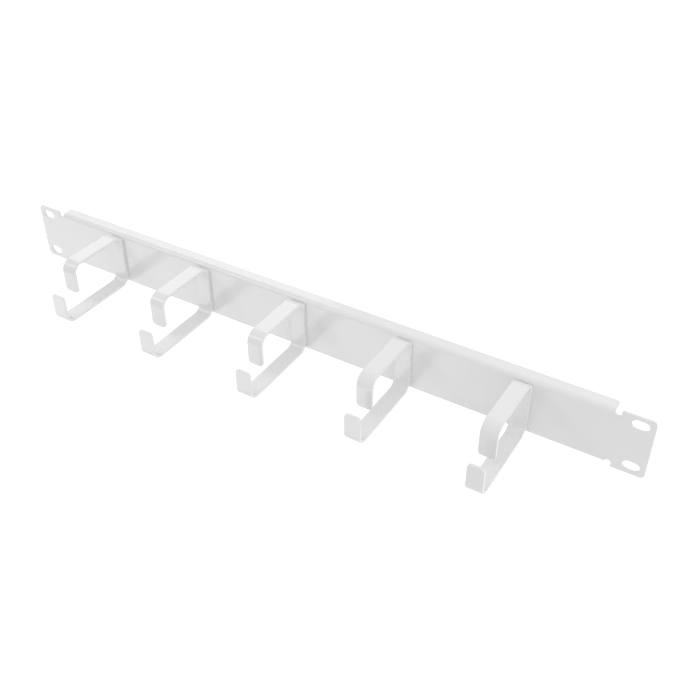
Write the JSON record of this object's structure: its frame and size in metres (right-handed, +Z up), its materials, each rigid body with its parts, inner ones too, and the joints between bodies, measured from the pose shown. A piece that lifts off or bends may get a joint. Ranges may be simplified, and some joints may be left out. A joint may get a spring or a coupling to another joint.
{
  "type": "horizontal cable manager",
  "caption": "Folded steel rack panel, one unit high, with open C-shaped cable rings bent from flat strip along its front.",
  "frame": {"origin": "middle of the mounting plane, the rear face of the two ears, centred between the four rack slots", "axes": "+X to the right seen from the front, +Y into the rack, +Z up; the rings stand out towards -Y"},
  "size_m": [0.4826, 0.0743, 0.0436],
  "materials": {
    "powder_coat": "light grey, semi-gloss powder coat with a fine orange-peel texture"
  },
  "bodies": {
    "root": {"panel": "powder_coat", "ring_1": "powder_coat", "ring_2": "powder_coat", "ring_3": "powder_coat", "ring_4": "powder_coat", "ring_5": "powder_coat"}
  },
  "joints": []
}
